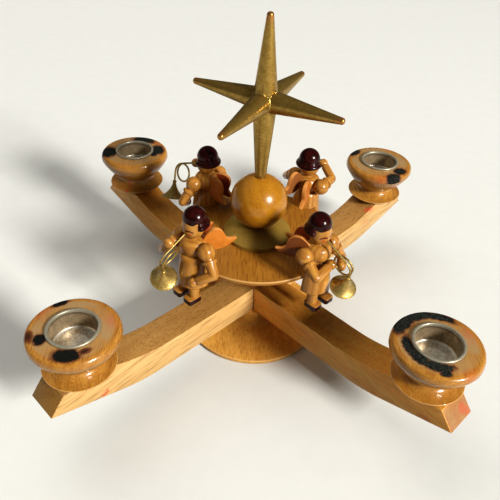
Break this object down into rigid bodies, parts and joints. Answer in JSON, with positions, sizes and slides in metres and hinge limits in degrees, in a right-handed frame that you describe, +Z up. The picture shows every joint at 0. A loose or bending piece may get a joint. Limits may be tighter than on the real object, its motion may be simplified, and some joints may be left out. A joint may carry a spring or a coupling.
{
  "type": "advent candle holder",
  "caption": "Wooden advent candle holder: crossed curved arms with candle cups and lift-out tin liners on a round foot, seated horn-playing angels, a turned ball and a gold star.",
  "frame": {"origin": "centre of the foot's underside, on the table", "axes": "+Z up along the post, the arms on the diagonals, -Y towards the side seen from the front"},
  "size_m": [0.2122, 0.2122, 0.1863],
  "materials": {
    "honey_wood": "glossy honey lacquer",
    "beech": "satin varnish",
    "figure_wood": "satin lacquer",
    "dark_paint": "glossy maroon-brown paint",
    "gold_paint": "metallic gold paint",
    "brass": "brushed",
    "tin": "dull pressed sheet"
  },
  "bodies": {
    "holder": {"base_disc": "honey_wood", "cross_beam_lower": "beech", "cross_beam_upper": "beech", "centre_post": "beech", "top_plate": "honey_wood", "gold_disc": "gold_paint", "ball": "honey_wood", "candle_cup_1": "honey_wood", "candle_cup_2": "honey_wood", "candle_cup_3": "honey_wood", "candle_cup_4": "honey_wood", "angel_1_body": "figure_wood", "angel_1_head": "figure_wood", "angel_1_hair": "dark_paint", "angel_1_arm_left": "figure_wood", "angel_1_arm_right": "figure_wood", "angel_1_leg_left": "figure_wood", "angel_1_leg_right": "figure_wood", "angel_1_wing_left": "honey_wood", "angel_1_wing_right": "honey_wood", "angel_1_horn": "brass", "angel_2_body": "figure_wood", "angel_2_head": "figure_wood", "angel_2_hair": "dark_paint", "angel_2_arm_left": "figure_wood", "angel_2_arm_right": "figure_wood", "angel_2_leg_left": "figure_wood", "angel_2_leg_right": "figure_wood", "angel_2_wing_left": "honey_wood", "angel_2_wing_right": "honey_wood", "angel_2_horn": "brass", "angel_3_body": "figure_wood", "angel_3_head": "figure_wood", "angel_3_hair": "dark_paint", "angel_3_arm_left": "figure_wood", "angel_3_arm_right": "figure_wood", "angel_3_leg_left": "figure_wood", "angel_3_leg_right": "figure_wood", "angel_3_wing_left": "honey_wood", "angel_3_wing_right": "honey_wood", "angel_3_horn": "brass", "angel_4_body": "figure_wood", "angel_4_head": "figure_wood", "angel_4_hair": "dark_paint", "angel_4_arm_left": "figure_wood", "angel_4_arm_right": "figure_wood", "angel_4_leg_left": "figure_wood", "angel_4_leg_right": "figure_wood", "angel_4_wing_left": "honey_wood", "angel_4_wing_right": "honey_wood", "angel_4_horn": "brass"},
    "star": {"star_spindle": "gold_paint", "star_ray_1": "gold_paint", "star_ray_2": "gold_paint", "star_ray_3": "gold_paint", "star_ray_4": "gold_paint"},
    "liner_1": {"candle_liner_1": "tin"},
    "liner_2": {"candle_liner_2": "tin"},
    "liner_3": {"candle_liner_3": "tin"},
    "liner_4": {"candle_liner_4": "tin"}
  },
  "joints": [
    {"name": "star_turn", "type": "hinge", "parent": "holder", "child": "star", "pos_m": [0, 0, 0.1], "axis": [0, 0, 1], "continuous": true},
    {"name": "liner_1_lift", "type": "slide", "parent": "holder", "child": "liner_1", "axis": [0, 0, 1], "range_m": [0, 0.025]},
    {"name": "liner_2_lift", "type": "slide", "parent": "holder", "child": "liner_2", "axis": [0, 0, 1], "range_m": [0, 0.025]},
    {"name": "liner_3_lift", "type": "slide", "parent": "holder", "child": "liner_3", "axis": [0, 0, 1], "range_m": [0, 0.025]},
    {"name": "liner_4_lift", "type": "slide", "parent": "holder", "child": "liner_4", "axis": [0, 0, 1], "range_m": [0, 0.025]}
  ]
}
